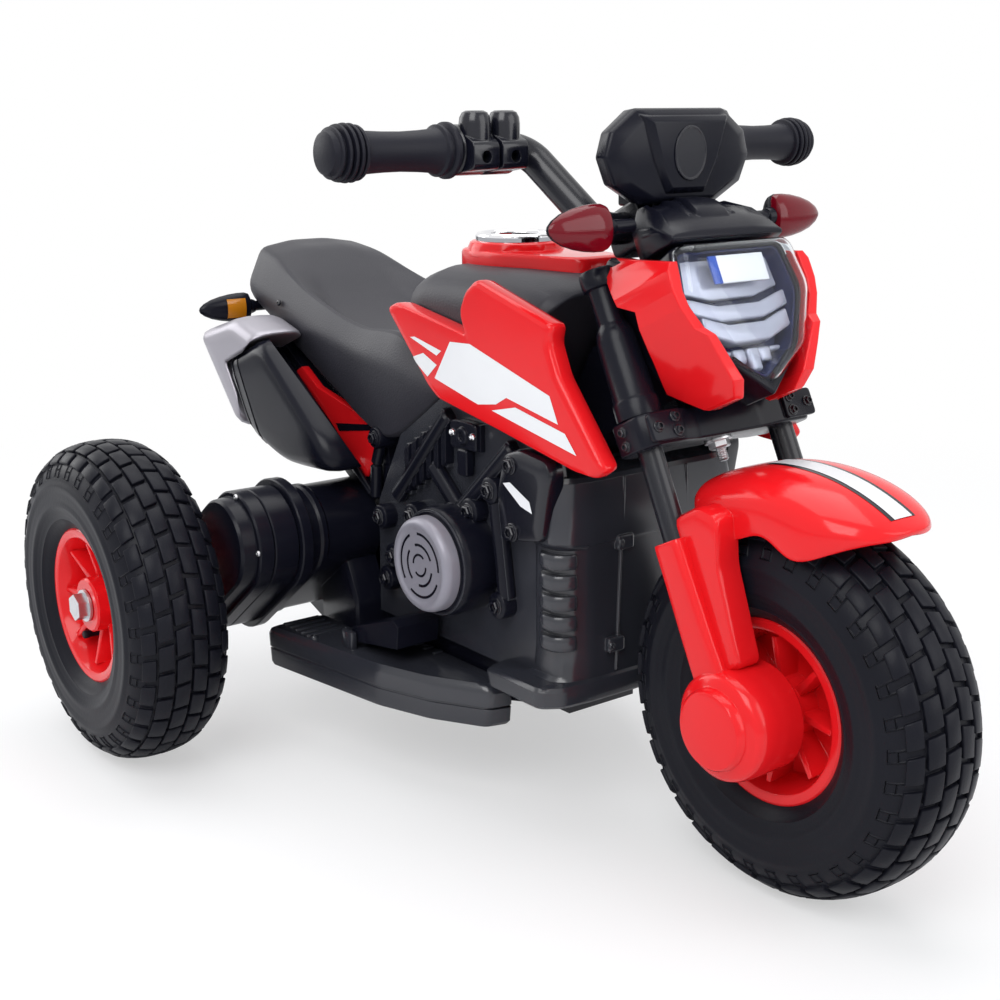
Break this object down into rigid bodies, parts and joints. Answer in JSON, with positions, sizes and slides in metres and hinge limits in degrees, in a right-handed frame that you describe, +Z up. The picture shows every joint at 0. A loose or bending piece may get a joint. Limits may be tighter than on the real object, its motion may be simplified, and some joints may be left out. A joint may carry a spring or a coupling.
{
  "type": "kids electric motorbike",
  "caption": "Ride-on toy motorbike with a steered front fork, wide rear axle, air tyres, geared motor, sprung pedal and console switches.",
  "frame": {"origin": "on the floor, midway between the front and rear axles, on the middle plane", "axes": "+X forward along the bike, +Y to its left, +Z up"},
  "size_m": [0.753, 0.602, 0.5106],
  "materials": {
    "red_gloss": "gloss",
    "black_satin": "satin",
    "black_seat": "satin",
    "tyre_rubber": "matte",
    "steel": "satin",
    "chrome": "polished",
    "grey_plastic": "satin",
    "silver_plastic": "satin",
    "clear_lens": "gloss",
    "amber_lens": "gloss",
    "red_lens": "gloss",
    "reflector": "gloss",
    "battery_case": "matte",
    "board_green": "satin",
    "gear_nylon": "satin",
    "bar_black": "satin",
    "button_red": "gloss",
    "grip_rubber": "matte"
  },
  "bodies": {
    "chassis": {"chassis_tray": "black_satin", "engine_shell_right": "black_satin", "engine_shell_left": "black_satin", "radiator_shroud": "black_satin", "steering_neck": "black_satin", "tank_panel_right": "red_gloss", "tank_panel_left": "red_gloss", "tank_cover": "black_satin", "console_base": "red_gloss", "console_bezel": "chrome", "console_panel": "black_satin", "seat": "black_seat", "tail_frame": "black_satin", "tail_panels": "red_gloss", "tail_lamp": "red_lens", "rear_signals": "black_satin", "rear_signal_lenses": "amber_lens", "muffler": "black_satin", "muffler_tip": "silver_plastic", "speaker_grilles": "grey_plastic", "footboards": "black_satin", "battery": "battery_case", "control_board": "board_green", "motor": "steel", "gearbox_case": "black_satin", "gearbox_cover": "black_satin", "rear_axle": "steel", "axle_nuts": "steel", "wheel_bushes": "steel", "charge_socket": "black_satin"},
    "steering": {"steering_stem": "steel", "fork_crown": "black_satin", "fork_tubes": "bar_black", "fork_sleeves": "black_satin", "fork_legs": "red_gloss", "front_axle": "steel", "front_fender": "red_gloss", "headlamp_cowl": "black_satin", "cowl_panels": "red_gloss", "headlamp_reflector": "reflector", "headlamp_lens": "clear_lens", "dash_cover": "black_satin", "front_signals": "black_satin", "front_signal_lenses": "red_lens", "handlebar": "bar_black", "grips": "grip_rubber", "bar_clamps": "black_satin", "bar_pod": "black_satin"},
    "front_wheel": {"front_rim": "red_gloss", "front_tyre": "tyre_rubber"},
    "rear_wheel_right": {"rear_rim_right": "red_gloss", "rear_tyre_right": "tyre_rubber", "drive_gear": "gear_nylon"},
    "rear_wheel_left": {"rear_rim_left": "red_gloss", "rear_tyre_left": "tyre_rubber"},
    "idler": {"idler_gear": "gear_nylon"},
    "motor_rotor": {"motor_pinion": "steel"},
    "pedal": {"accelerator_pedal": "black_satin"},
    "button": {"start_button": "button_red"},
    "rocker": {"direction_rocker": "black_satin"}
  },
  "joints": [
    {"name": "steering_turn", "type": "hinge", "parent": "chassis", "child": "steering", "pos_m": [0.2465, 0, 0.13], "axis": [-0.4352, 0, 0.9003], "range_deg": [-25, 25]},
    {"name": "front_wheel_spin", "type": "hinge", "parent": "steering", "child": "front_wheel", "pos_m": [0.2465, 0, 0.13], "axis": [0, 1, 0], "continuous": true},
    {"name": "rear_right_spin", "type": "hinge", "parent": "chassis", "child": "rear_wheel_right", "pos_m": [-0.2465, -0.258, 0.13], "axis": [0, 1, 0], "continuous": true},
    {"name": "rear_left_spin", "type": "hinge", "parent": "chassis", "child": "rear_wheel_left", "pos_m": [-0.2465, 0.258, 0.13], "axis": [0, 1, 0], "continuous": true},
    {"name": "idler_spin", "type": "hinge", "parent": "chassis", "child": "idler", "pos_m": [-0.2129, -0.169, 0.1552], "axis": [0, 1, 0], "continuous": true},
    {"name": "motor_spin", "type": "hinge", "parent": "chassis", "child": "motor_rotor", "pos_m": [-0.1829, -0.155, 0.1777], "axis": [0, 1, 0], "continuous": true},
    {"name": "pedal_press", "type": "hinge", "parent": "chassis", "child": "pedal", "pos_m": [-0.1075, -0.105, 0.104], "axis": [0, 1, 0], "range_deg": [0, 8], "stiffness_Nm_per_rad": 2, "springref_deg": -2.86},
    {"name": "button_press", "type": "slide", "parent": "chassis", "child": "button", "axis": [0, 0, -1], "range_m": [0, 0.002], "stiffness_N_per_m": 300, "springref_m": -0.001},
    {"name": "rocker_tilt", "type": "hinge", "parent": "chassis", "child": "rocker", "pos_m": [-0.0525, -0.01054, 0.412], "axis": [0, 1, 0], "range_deg": [-6, 6]}
  ],
  "couplings": [
    {"joint": "idler_spin", "follows": "rear_right_spin", "ratio": -3.6667},
    {"joint": "motor_spin", "follows": "rear_right_spin", "ratio": 14.667}
  ]
}
